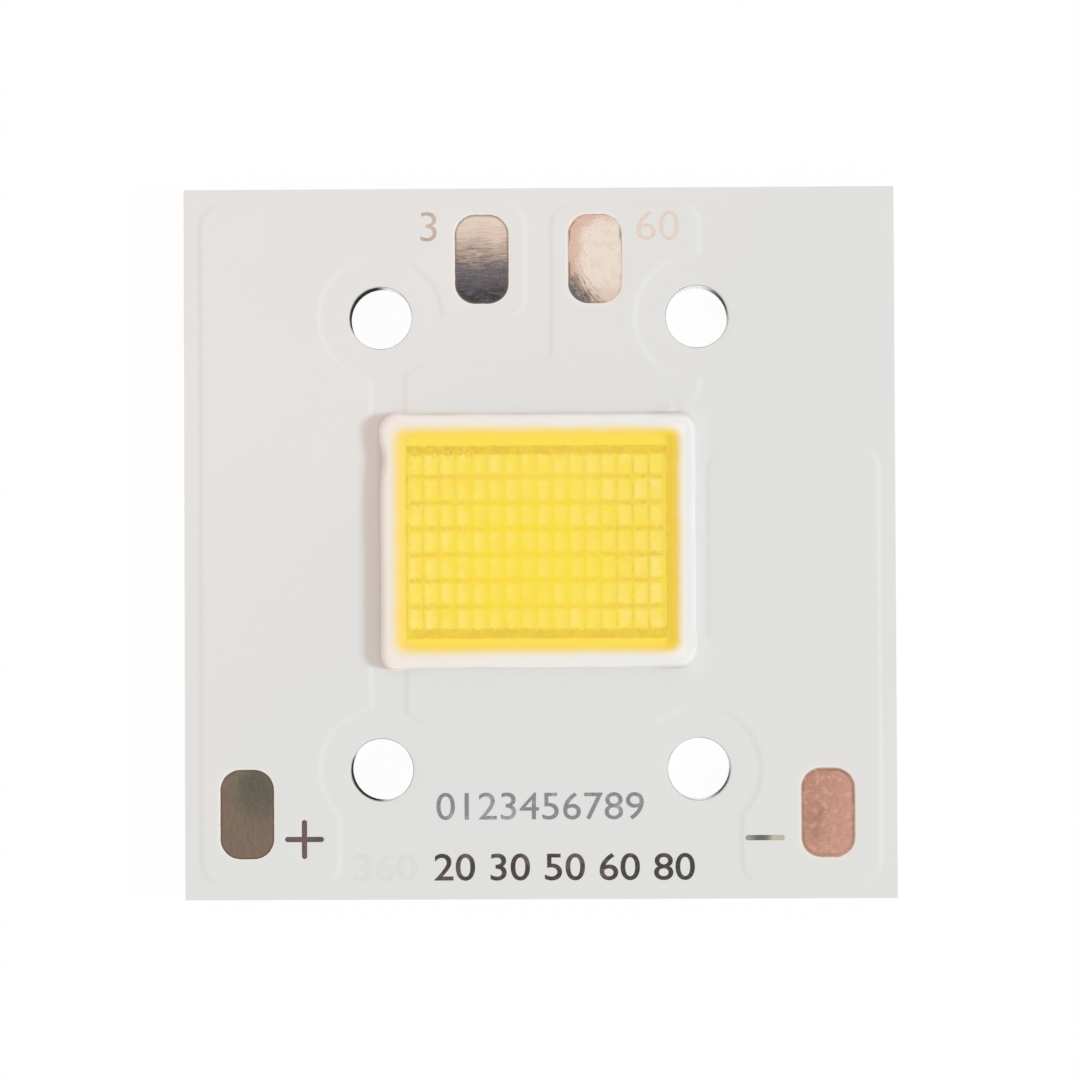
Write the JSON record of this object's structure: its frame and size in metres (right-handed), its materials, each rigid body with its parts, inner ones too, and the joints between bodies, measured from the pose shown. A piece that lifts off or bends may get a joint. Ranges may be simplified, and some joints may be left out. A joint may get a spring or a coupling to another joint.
{
  "type": "chip-on-board LED module",
  "caption": "Square white metal-core board with a rectangular yellow phosphor light area inside a raised silicone dam, solder pads and screw holes.",
  "frame": {"origin": "centre of the board's outline on its flat back face", "axes": "+Z away from the back face towards the light side, +Y towards the board edge with the two link pads, +X towards the negative lead pad"},
  "size_m": [0.032, 0.032, 0.0025],
  "materials": {
    "aluminium_core": "rolled and lightly brushed",
    "dielectric": "cured resin, matt",
    "copper": "bare copper foil, brushed and tarnished in places",
    "white_mask": "white solder mask, semi-matt",
    "adhesive": "clear silicone die adhesive",
    "die": "polished sapphire die",
    "wire": "gold bond wire",
    "dam_silicone": "white silicone, satin",
    "phosphor": "yellow phosphor in clear silicone, smooth"
  },
  "bodies": {
    "root": {"base_plate": "aluminium_core", "dielectric_layer": "dielectric", "positive_foil": "copper", "feed_foil": "copper", "negative_foil": "copper", "solder_mask": "white_mask", "die_adhesive": "adhesive", "die_row_1": "die", "die_row_2": "die", "die_row_3": "die", "die_row_4": "die", "die_row_5": "die", "die_row_6": "die", "die_row_7": "die", "feed_wires": "wire", "series_wires_1": "wire", "series_wires_2": "wire", "series_wires_3": "wire", "series_wires_4": "wire", "series_wires_5": "wire", "series_wires_6": "wire", "return_wires": "wire", "dam_ring": "dam_silicone", "phosphor_fill": "phosphor"}
  },
  "joints": []
}
